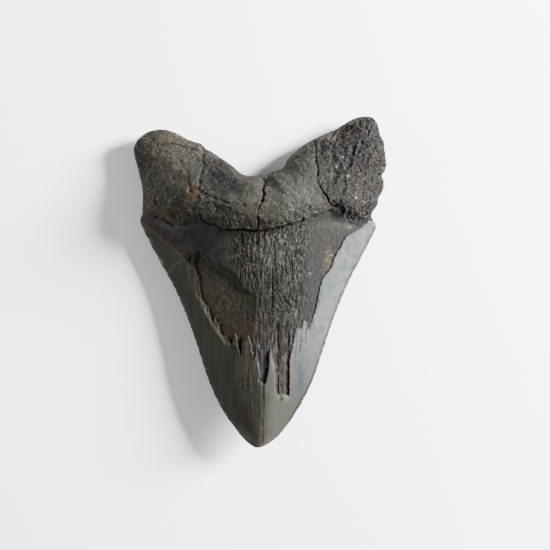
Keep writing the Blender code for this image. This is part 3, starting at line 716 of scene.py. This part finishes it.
STAINS = [
    # Partly painted shade: this patch, the next three and the one at (-16, 49) darken the hollow of the
    # root plate, where shade falls.
    (-18.5, 44.0, 7.0, 4.8, tone(8, 9, 9), 0.85),
    (-12.0, 39.0, 7.5, 4.6, tone(5, 6, 6), 0.95),
    (-14.5, 41.0, 7.0, 4.6, tone(6, 7, 7), 0.7),
    (-7.5, 35.5, 4.0, 3.5, tone(22, 24, 22), 0.5),
    (-15.0, 29.0, 9.0, 4.5, tone(24, 25, 23), 0.45),
    # Partly painted shade in the hollow of the root plate.
    (-16.0, 49.0, 6.0, 3.0, tone(10, 10, 9), 0.65),
    (4.0, -10.0, 13.0, 13.0, tone(19, 19, 17), 0.5),
    (9.5, -19.5, 2.6, 5.0, tone(19, 19, 19), 0.6),
    (-37.4, 58.4, 5.0, 2.6, tone(50, 42, 31), 0.6),
    (-34.0, 57.5, 9.0, 4.0, tone(40, 36, 30), 0.5),
    (-43.0, 52.5, 4.0, 3.0, tone(50, 41, 32), 0.45),
    (-27.8, 36.0, 2.4, 4.6, tone(48, 36, 23), 0.65),
    (-38.5, 28.4, 6.5, 2.0, tone(36, 25, 17), 0.6),
    (-3.8, 33.0, 2.8, 10.5, tone(37, 36, 28), 0.65),
    (-27.0, 46.0, 4.0, 4.5, tone(30, 34, 32), 0.35),
    (17.0, 41.0, 8.0, 13.0, tone(50, 51, 48), 0.45),
    (13.0, 26.5, 7.0, 3.0, tone(28, 29, 27), 0.25),
    (12.0, 36.0, 8.0, 7.0, tone(42, 50, 46), 0.25),
    (29.0, 38.0, 5.0, 4.5, tone(11, 18, 15), 0.7),
    (37.0, 33.0, 9.0, 8.0, tone(14, 14, 13), 0.15),
    (41.0, 47.0, 8.0, 9.0, tone(12, 12, 11), 0.3),
    (26.5, 59.8, 7.0, 2.4, tone(52, 50, 48), 0.65),
    (33.0, 23.5, 7.0, 3.5, tone(42, 42, 40), 0.35),
    (-36.5, 46.0, 8.0, 9.0, tone(53, 52, 47), 0.4),
    (3.5, 27.0, 3.0, 5.5, tone(36, 30, 24), 0.4),
    (-22.0, -4.5, 3.2, 7.0, tone(49, 41, 33), 0.65),
    (-8.0, -19.5, 9.0, 4.5, tone(42, 33, 27), 0.6),
    (-23.0, 15.0, 4.5, 4.0, tone(20, 23, 25), 0.5),
    (5.8, 1.1, 3.4, 2.8, tone(8, 17, 13), 0.75),
    (10.8, 5.2, 2.6, 2.6, tone(10, 18, 14), 0.65),
    (11.6, 15.5, 2.4, 4.5, tone(26, 34, 30), 0.45),
    # Painted shade: the end of the dark band below the lip of the neck band.
    (-2.0, -7.0, 3.0, 2.2, tone(22, 23, 12), 0.5),
    (3.5, 10.5, 5.5, 5.5, tone(66, 66, 62), 0.12),
    (28.0, 8.5, 1.6, 5.0, tone(58, 51, 37), 0.5),
    (4.6, -33.2, 0.9, 2.0, tone(66, 55, 49), 0.7),
    (9.4, -38.0, 2.2, 8.0, tone(36, 30, 27), 0.65),
    (9.3, -48.0, 2.9, 1.6, tone(57, 57, 48), 0.9),
    (8.7, -47.9, 0.9, 1.1, tone(16, 16, 9), 1.0),
    (16.2, -38.5, 1.6, 9.5, tone(37, 40, 44), 0.85),
    (1.5, -33.0, 1.0, 8.5, tone(31, 32, 36), 0.75),
    (25.2, -8.0, 2.0, 6.0, tone(46, 46, 43), 0.25),
    (4.4, -40.0, 1.6, 6.5, tone(47, 45, 42), 0.8),
    (-16.5, -24.2, 2.6, 4.4, tone(33, 32, 22), 0.5),
    (1.0, -65.0, 6.0, 4.0, tone(57, 51, 43), 0.7),
    (-5.5, -56.0, 3.6, 8.0, tone(30, 28, 21), 0.6),
    (-6.5, -35.0, 3.0, 6.0, tone(50, 46, 37), 0.5),
]
STAIN_FULLNESS = 1.25
EDGE_BAND = 3.0
FINISHES = ("root", "coarse", "smooth", "split", "bourlette", "recess", "crumbly")
OTHER_MARKS = ("enamel", "rim", "crack", "shade", "pale", "border", "streaky", "flecks")
SPECK_HALF_SIZES = (0.38, 0.26)
SPECK_COLOUR = (0.12, 0.12, 0.12)
WHITE_SPECKS = [
    (22.4, 52.1), (30.7, 47.6), (34.0, 51.7), (39.4, 34.7), (41.9, 33.0), (43.0, 32.6), (50.6, 47.1),
    (36.9, 22.2), (26.6, 8.1), (20.3, 3.2), (27.4, 12.6), (29.6, 11.4), (-34.5, 60.0), (36.0, 43.0)]
FLECKED = [
    (28.0, 9.5, 2.6, 7.0, 1.0), (20.0, 3.0, 3.0, 2.5, 0.7), (-33.0, 46.0, 9.0, 8.0, 0.4),
    (-14.0, 40.5, 9.0, 6.0, -0.35), (12.0, 35.0, 13.0, 13.0, 0.9), (37.0, 22.5, 3.0, 2.0, 0.9)]


def add_mark(mesh, name, values):
    layer = mesh.attributes.new(name, "FLOAT", "POINT")
    layer.data.foreach_set("value", values.astype(np.float32))


def lay_over(stain, colour, amount):
    """Adds a colour over the stains that are there already."""
    keep = 1.0 - amount
    stain[:, :3] = stain[:, :3] * keep[:, None] + np.array(colour) * amount[:, None]
    stain[:, 3] = stain[:, 3] * keep + amount


def paint_stains(mesh, points, upper):
    """The stains as one colour attribute, whose alpha is their strength."""
    stain = np.zeros((len(points), 4), np.float32)
    ragged = np.column_stack([wander(points, 0.8, 2.4, 75), points[:, 2]])
    for x, y, half_x, half_y, colour, strength in STAINS:
        amount = bump(ragged, x, y, half_x, half_y, strength) * STAIN_FULLNESS
        lay_over(stain, colour, np.clip(amount, 0.0, 1.0) * upper)
    for x, y in WHITE_SPECKS:
        lay_over(stain, SPECK_COLOUR, bump(ragged, x, y, *SPECK_HALF_SIZES, 1.0) * upper)
    stain[:, :3] = stain[:, :3] / np.maximum(stain[:, 3:4], 1e-4)
    layer = mesh.attributes.new("stain", "FLOAT_COLOR", "POINT")
    layer.data.foreach_set("color", stain.ravel())


def paint_marks(mesh, points, upper):
    """One attribute for each mark. edge_gap and edge_run are in millimetres, the others 0 to 1."""
    fields = {name: np.zeros(len(points)) for name in FINISHES + OTHER_MARKS}
    distance, along = place_on_outline(points[:, :2])
    fields["edge_gap"] = np.minimum(distance, EDGE_BAND)
    fields["edge_run"] = along
    fields["serrated"] = crown_edge(points) * (points[:, 0] > 0.0)
    top = points[upper]
    marks = crown_marks(top)
    root_marks(top, marks)
    bare = marks["bare"]
    enamel = smooth_step(0.1, -0.1, bare) * marks["crown"]
    fields["enamel"][upper] = enamel
    fields["streaky"][upper] = 1.0 - 0.92 * enamel * smooth_step(2.0, 8.0, top[:, 0])
    for name in FINISHES:
        fields[name][upper] = marks[name]
    # The broken enamel edges' tan is laid mostly on the left of the break, where the broken walls face the
    # lamp, and on the right splinter ends: partly their own colour, partly a painted highlight.
    edge_kept = smooth_step(-34.0, -28.0, top[:, 0]) * smooth_step(9.0, 6.0, top[:, 0])
    rim = np.exp(-((bare + 0.05) / 0.28) ** 2) * edge_kept * marks["crown"]
    rim *= 0.45 + 0.55 * smooth_step(-19.0, -14.0, top[:, 0])
    right_ends = bump(top, 21.0, -17.0, 4.5, 5.0, 1.0)
    rim = np.maximum(rim, 0.8 * right_ends * np.exp(-((bare + 0.2) / 0.7) ** 2))
    fields["rim"][upper] = rim * smooth_step(-0.7, 0.5, lumps(top, 2.0, 73, 2))
    fields["border"][upper] = np.exp(-(bare / 0.8) ** 2) * marks["crown"]
    fields["pale"][upper] = np.exp(-(marks["hairline"] / 0.35) ** 2) * marks["crown"]
    # Painted shade: a dark band on the dentine just below the lip of the neck band, where the lip's shadow
    # falls.
    lip_y = np.interp(top[:, 0], *zip(*BOURLETTE_LIP))
    below_lip = smooth_step(-0.4, 0.5, lip_y - top[:, 1]) * smooth_step(-27.5, -25.0, top[:, 0])
    below_lip *= smooth_step(2.0, -3.0, top[:, 0]) * smooth_step(0.0, 0.5, bare)
    band = smooth_step(4.6, 2.2, marks["lip_gap"]) + 0.45 * smooth_step(9.0, 4.0, marks["lip_gap"])
    fields["shade"][upper] = np.clip(band, 0.0, 1.0) * below_lip
    flecks = 0.3 * marks["root"] + 0.3 * marks["coarse"]
    for patch in FLECKED:
        flecks += bump(top, *patch)
    fields["flecks"][upper] = np.clip(flecks, 0.0, 1.0) * smooth_step(-0.1, 0.2, bare)
    fields["crack"][upper] = crack_field(top, CRACKS, CRACK_SEED)[1]
    base = points[~upper]
    marks = outer_marks(base)
    fields["root"][~upper] = marks["root"]
    fields["enamel"][~upper] = marks["crown"]
    fields["crack"][~upper] = crack_field(base, OUTER_CRACKS, OUTER_CRACK_SEED)[1]
    for name, values in fields.items():
        add_mark(mesh, name, values)


write_points(tooth.data, fit_in_box(read_points(tooth.data)))
surface = read_points(tooth.data) / MM
on_inner_face = surface[:, 2] > rim_height(surface[:, :2])
paint_marks(tooth.data, surface, on_inner_face)
paint_stains(tooth.data, surface, on_inner_face)
tooth.data.shade_smooth()

# ---- Finish --------------------------------------------------------------------------------------
# One stone-like material: satin enamel over matt fibrous dentine and matt porous bone, with dirt
# in the cracks. Grain finer than the mesh comes from noise in the colour, roughness and bump.

BONE_DARK, BONE_PALE, BONE_DIRT = tone(14, 14, 12), tone(60, 59, 55), tone(30, 28, 24)
BROKEN_DARK, BROKEN_PALE = tone(7, 7, 6), tone(38, 37, 35)
STRAND_DARK, STRAND_PALE = tone(10, 10, 9), tone(73, 71, 66)
CRUMB_DIRT, PIT_DIRT = tone(17, 19, 17), tone(8, 9, 8)
RECESS_DARK, RECESS_PALE = tone(30, 29, 26), tone(58, 55, 49)
SMOOTH_DENTINE = tone(30, 30, 29)
# The olive enamel colours are partly painted shade, the grey ones partly painted light.
OLIVE_DARK, OLIVE_PALE, OLIVE_CLOUD = tone(28, 29, 24), tone(41, 41, 35), tone(29, 30, 29)
GREY_DARK, GREY_PALE, GREY_CLOUD = tone(54, 57, 57), tone(77, 79, 77), tone(64, 69, 73)
GREY_SPECK, GREY_TIP, SPLIT_DIRT = tone(26, 28, 28), tone(45, 46, 42), tone(16, 15, 12)
BAND_DARK, BAND_PALE = tone(28, 27, 25), tone(38, 37, 35)
# The lip colour is painted shade, for the band below the lip of the neck band.
PAINTED_LIP_SHADE, FLECK, NOTCH_DIRT = tone(27, 31, 26), tone(74, 71, 64), tone(14, 15, 14)
# The rim's tan is partly a painted highlight.
LINE_COLOURS = [
    ("pale", 0.6, tone(66, 61, 54)), ("rim", 0.75, tone(44, 37, 27)), ("crack", 0.9, tone(13, 9, 7))]


def put(tree, kind, inputs=None, **settings):
    """Adds a node; an input is either a value or the socket that feeds it."""
    node = tree.nodes.new(kind)
    for name, value in settings.items():
        setattr(node, name, value)
    for name, value in (inputs or {}).items():
        if isinstance(value, bpy.types.NodeSocket):
            tree.links.new(value, node.inputs[name])
        else:
            node.inputs[name].default_value = value
    return node


def mark(tree, name):
    return put(tree, "ShaderNodeAttribute", attribute_name=name).outputs["Fac"]


def blend(tree, share, first, second):
    """Colour between two colours."""
    colours = {0: share, 6: first, 7: second}
    colours = {key: (*value, 1.0) if isinstance(value, tuple) else value for key, value in colours.items()}
    return put(tree, "ShaderNodeMix", colours, data_type="RGBA").outputs[2]


def sums(tree, operation, first, second=0.0, third=0.0):
    """One step of arithmetic on values or sockets."""
    inputs = {0: first, 1: second, 2: third}
    return put(tree, "ShaderNodeMath", inputs, operation=operation).outputs[0]


def ramp(tree, value, low, high, floor=0.0, ceiling=1.0):
    """Soft step from floor to ceiling as the value goes from low to high."""
    inputs = {"Value": value, "From Min": low, "From Max": high, "To Min": floor, "To Max": ceiling}
    return put(tree, "ShaderNodeMapRange", inputs, interpolation_type="SMOOTHSTEP").outputs[0]


def grain(tree, size, detail=3.0, stretch=(1.0, 1.0, 1.0), roughness=0.55):
    """Noise on the object's own coordinates; size in millimetres."""
    place = put(tree, "ShaderNodeTexCoord").outputs["Object"]
    scale = tuple(1.0 / (size * MM * share) for share in stretch)
    placed = put(tree, "ShaderNodeMapping", {"Vector": place, "Scale": scale}).outputs["Vector"]
    inputs = {"Vector": placed, "Scale": 1.0, "Detail": detail, "Roughness": roughness}
    return put(tree, "ShaderNodeTexNoise", inputs).outputs["Fac"]


def times(tree, first, second):
    return sums(tree, "MULTIPLY", first, second)


def place_along(tree, axis):
    """The object's own coordinate along one axis."""
    place = put(tree, "ShaderNodeTexCoord").outputs["Object"]
    return put(tree, "ShaderNodeSeparateXYZ", {0: place}).outputs[axis]


def bone_colour(tree):
    """Speckled bone, darker where the right lobe has broken open."""
    speck = ramp(tree, grain(tree, 0.6, 4.0), 0.36, 0.68)
    speck = times(tree, speck, ramp(tree, grain(tree, 2.6, 4.0), 0.32, 0.68, 0.5, 1.3))
    broad = ramp(tree, grain(tree, 7.0, 3.0), 0.35, 0.65)
    colour = blend(tree, speck, BONE_DARK, BONE_PALE)
    colour = blend(tree, times(tree, broad, 0.4), colour, BONE_DIRT)
    coarse = ramp(tree, grain(tree, 0.8, 4.0), 0.38, 0.64)
    broken = blend(tree, coarse, BROKEN_DARK, BROKEN_PALE)
    return blend(tree, mark(tree, "coarse"), colour, broken)


def dentine_colour(tree):
    """Pale strands with dirt between them, dimmer in the recess and plain on the smooth right."""
    strands = ramp(tree, grain(tree, 0.42, 4.0, (1.0, 12.0, 1.0)), 0.42, 0.66)
    strands = times(tree, strands, sums(tree, "MULTIPLY_ADD", mark(tree, "recess"), -0.3, 1.0))
    grains = ramp(tree, grain(tree, 0.5, 3.0, (1.0, 1.5, 1.0)), 0.42, 0.66)
    strands = times(tree, strands, sums(tree, "MULTIPLY_ADD", grains, 0.6, 0.5))
    crumbs = ramp(tree, grain(tree, 0.7, 3.0, (1.0, 1.6, 1.0)), 0.35, 0.65)
    colour = blend(tree, strands, STRAND_DARK, STRAND_PALE)
    colour = blend(tree, times(tree, crumbs, 0.5), colour, CRUMB_DIRT)
    pits = times(tree, mark(tree, "crumbly"), ramp(tree, grain(tree, 1.0, 4.0), 0.48, 0.58))
    colour = blend(tree, times(tree, pits, 0.75), colour, PIT_DIRT)
    threads = ramp(tree, grain(tree, 0.6, 4.0, (1.0, 4.0, 1.0)), 0.35, 0.65)
    dim = blend(tree, threads, RECESS_DARK, RECESS_PALE)
    colour = blend(tree, times(tree, mark(tree, "recess"), 0.75), colour, dim)
    return blend(tree, times(tree, mark(tree, "smooth"), 0.8), colour, SMOOTH_DENTINE)


def lit_right_part(tree):
    """One on the right of the crown, where the enamel is paler and less shiny; its paler colour is partly
    painted light.
    """
    shift = sums(tree, "MULTIPLY_ADD", grain(tree, 9.0, 2.0), 6.0 * MM, -3.0 * MM)
    return ramp(tree, sums(tree, "ADD", place_along(tree, "X"), shift), 0.0, 6.0 * MM)


def enamel_colour(tree, right):
    """Olive at the left and blue-grey at the right, split lengthwise near the break. The dark olive left
    half is partly painted shade and the pale grey right half partly painted light.
    """
    streaks = ramp(tree, grain(tree, 1.6, 3.0, (1.0, 9.0, 1.0)), 0.3, 0.7)
    splits = ramp(tree, grain(tree, 0.45, 3.0, (1.0, 26.0, 1.0)), 0.35, 0.65)
    cloud = ramp(tree, grain(tree, 6.0, 3.0, (1.0, 1.8, 1.0)), 0.3, 0.7)
    olive = blend(tree, streaks, OLIVE_DARK, OLIVE_PALE)
    olive = blend(tree, times(tree, cloud, 0.5), olive, OLIVE_CLOUD)
    patches = ramp(tree, grain(tree, 2.6, 4.0, (1.0, 1.5, 1.0)), 0.3, 0.7)
    grey = blend(tree, patches, GREY_DARK, GREY_PALE)
    grey = blend(tree, times(tree, cloud, 0.5), grey, GREY_CLOUD)
    specks = ramp(tree, grain(tree, 1.1, 4.0, (1.0, 1.4, 1.0)), 0.6, 0.68)
    grey = blend(tree, times(tree, specks, 0.4), grey, GREY_SPECK)
    near_tip = ramp(tree, place_along(tree, "Y"), -8.0 * MM, -58.0 * MM)
    grey = blend(tree, near_tip, grey, GREY_TIP)
    split = times(tree, mark(tree, "split"), sums(tree, "MULTIPLY_ADD", splits, -0.6, 0.6))
    return blend(tree, split, blend(tree, right, olive, grey), SPLIT_DIRT)


def notches(tree):
    """Dirt between the small teeth of the right cutting edge."""
    turn = times(tree, mark(tree, "edge_run"), 2.0 * math.pi / SERRATION_PITCH)
    between = ramp(tree, sums(tree, "COSINE", turn), 0.5, -0.6)
    near_edge = ramp(tree, mark(tree, "edge_gap"), 1.8, 1.0)
    return times(tree, times(tree, times(tree, between, near_edge), mark(tree, "serrated")), 0.95)


def tooth_colour(tree, right, dirt):
    """Dentine, neck band, bone and enamel, then painted shade below the lip, and the stains, flecks,
    cracks and dirt over them; a few stains are painted shade too.
    """
    colour = dentine_colour(tree)
    band = blend(tree, ramp(tree, grain(tree, 3.0), 0.3, 0.7), BAND_DARK, BAND_PALE)
    colour = blend(tree, mark(tree, "bourlette"), colour, band)
    colour = blend(tree, mark(tree, "root"), colour, bone_colour(tree))
    colour = blend(tree, mark(tree, "enamel"), colour, enamel_colour(tree, right))
    # Painted shade below the lip of the neck band.
    colour = blend(tree, times(tree, mark(tree, "shade"), 0.65), colour, PAINTED_LIP_SHADE)
    stain = put(tree, "ShaderNodeAttribute", attribute_name="stain")
    patchy = times(tree, stain.outputs["Alpha"], ramp(tree, grain(tree, 1.4, 4.0), 0.25, 0.6, 0.6, 1.0))
    colour = blend(tree, patchy, colour, stain.outputs["Color"])
    fleck = times(tree, ramp(tree, grain(tree, 0.55, 2.0), 0.6, 0.7), mark(tree, "flecks"))
    colour = blend(tree, times(tree, fleck, 0.7), colour, FLECK)
    for name, strength, over in LINE_COLOURS:
        colour = blend(tree, times(tree, mark(tree, name), strength), colour, over)
    return blend(tree, dirt, colour, NOTCH_DIRT)


def set_shine(tree, shader, glossy, right, dirt):
    """Satin whole enamel, matt elsewhere, and a thin coat on the enamel that stops at breaks and dirt."""
    whole = sums(tree, "SUBTRACT", 1.0, mark(tree, "border"))
    matt = sums(tree, "MULTIPLY_ADD", grain(tree, 1.0), 0.2, 0.6)
    satin = sums(tree, "MULTIPLY_ADD", grain(tree, 2.0, 4.0, (1.0, 2.0, 1.0)), 0.25, 0.2)
    difference = sums(tree, "SUBTRACT", satin, matt)
    roughness = sums(tree, "MULTIPLY_ADD", times(tree, glossy, whole), difference, matt)
    tree.links.new(roughness, shader.inputs["Roughness"])
    coat = times(tree, glossy, sums(tree, "MULTIPLY_ADD", right, -0.3, 0.45))
    dull = sums(tree, "MAXIMUM", dirt, mark(tree, "border"))
    coat = times(tree, coat, sums(tree, "SUBTRACT", 1.0, dull))
    tree.links.new(coat, shader.inputs["Coat Weight"])
    shader.inputs["Coat Roughness"].default_value = 0.32
    shader.inputs["Specular IOR Level"].default_value = 0.03


def fine_relief(tree, glossy):
    """Grain on all that is not glossy, and fine streaks along the crown."""
    rough = sums(tree, "SUBTRACT", 1.0, glossy)
    grains = put(tree, "ShaderNodeBump", {
        "Height": times(tree, grain(tree, 0.7, 4.0, (1.0, 2.2, 1.0)), rough),
        "Strength": 0.9, "Distance": 0.35 * MM})
    streaks = put(tree, "ShaderNodeBump", {
        "Height": times(tree, grain(tree, 1.4, 3.0, (1.0, 8.0, 1.0)), mark(tree, "streaky")),
        "Strength": 0.35, "Distance": 0.12 * MM,
        "Normal": grains.outputs["Normal"]})
    return streaks.outputs["Normal"]


def fossil_material():
    """Mineral-stained bone, dentine and enamel as one material."""
    material = bpy.data.materials.new("Fossil")
    material.use_nodes = True
    tree = material.node_tree
    shader = tree.nodes["Principled BSDF"]
    right = lit_right_part(tree)
    dirt = notches(tree)
    glossy = sums(tree, "MAXIMUM", mark(tree, "enamel"), times(tree, mark(tree, "bourlette"), 0.2))
    tree.links.new(tooth_colour(tree, right, dirt), shader.inputs["Base Color"])
    set_shine(tree, shader, glossy, right, dirt)
    tree.links.new(fine_relief(tree, glossy), shader.inputs["Normal"])
    return material


tooth.data.materials.append(fossil_material())
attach(tooth, "root")
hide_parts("tooth")

# ---- Floor, light and camera ---------------------------------------------------------------------
# A plain white table, seen from straight above with the root at the top. The key lamp stands at the
# right, a little towards the root. A weak one, low at the left, doesn't show in reflections.

FLOOR_HALF_WIDTH = 1.5
FLOOR_WHITE = 0.9
FLOOR_ROUGHNESS = 0.9
ROOM_LIGHT = 0.38
# Each lamp's name, degrees round from +X, degrees up, metres away, width, height and watts.
LAMPS = [
    ("key", 20.0, 23.5, 0.9, 0.28, 0.36, 113.0),
    ("fill", 170.0, 7.0, 1.0, 0.60, 0.20, 25.0),
]
LENS = 200.0
SENSOR = 36.0
VIEW_WIDTH = 0.2260
RIM_LEVEL = 0.010
VIEW_MIDDLE = (0.0061, 0.0028)

floor_mesh = bmesh.new()
bmesh.ops.create_grid(floor_mesh, x_segments=1, y_segments=1, size=FLOOR_HALF_WIDTH)
floor_data = bpy.data.meshes.new("floor")
floor_mesh.to_mesh(floor_data)
floor_mesh.free()
floor = bpy.data.objects.new("floor", floor_data)
bpy.context.scene.collection.objects.link(floor)
paper = bpy.data.materials.new("White paper")
paper.use_nodes = True
paper_shader = paper.node_tree.nodes["Principled BSDF"]
paper_shader.inputs["Base Color"].default_value = (FLOOR_WHITE, FLOOR_WHITE, FLOOR_WHITE, 1.0)
paper_shader.inputs["Roughness"].default_value = FLOOR_ROUGHNESS
floor_data.materials.append(paper)

for name, azimuth, elevation, distance, width, height, power in LAMPS:
    lamp = bpy.data.lights.new(name, "AREA")
    lamp.shape = "RECTANGLE"
    lamp.size = width
    lamp.size_y = height
    lamp.energy = power
    holder = bpy.data.objects.new(name, lamp)
    level = math.radians(elevation)
    turn = math.radians(azimuth)
    toward = Vector((math.cos(turn) * math.cos(level), math.sin(turn) * math.cos(level), math.sin(level)))
    holder.location = toward * distance
    holder.rotation_euler = toward.to_track_quat("Z", "Y").to_euler()
    holder.visible_glossy = name == "key"
    bpy.context.scene.collection.objects.link(holder)

world = bpy.data.worlds.new("Pale room")
world.use_nodes = True
room = world.node_tree.nodes["Background"]
room.inputs["Color"].default_value = (1.0, 1.0, 1.0, 1.0)
room.inputs["Strength"].default_value = ROOM_LIGHT
bpy.context.scene.world = world

camera_data = bpy.data.cameras.new("camera")
camera_data.lens = LENS
camera_data.sensor_width = SENSOR
camera = bpy.data.objects.new("camera", camera_data)
camera.location = (*VIEW_MIDDLE, RIM_LEVEL + VIEW_WIDTH * LENS / SENSOR)
bpy.context.scene.collection.objects.link(camera)
bpy.context.scene.camera = camera
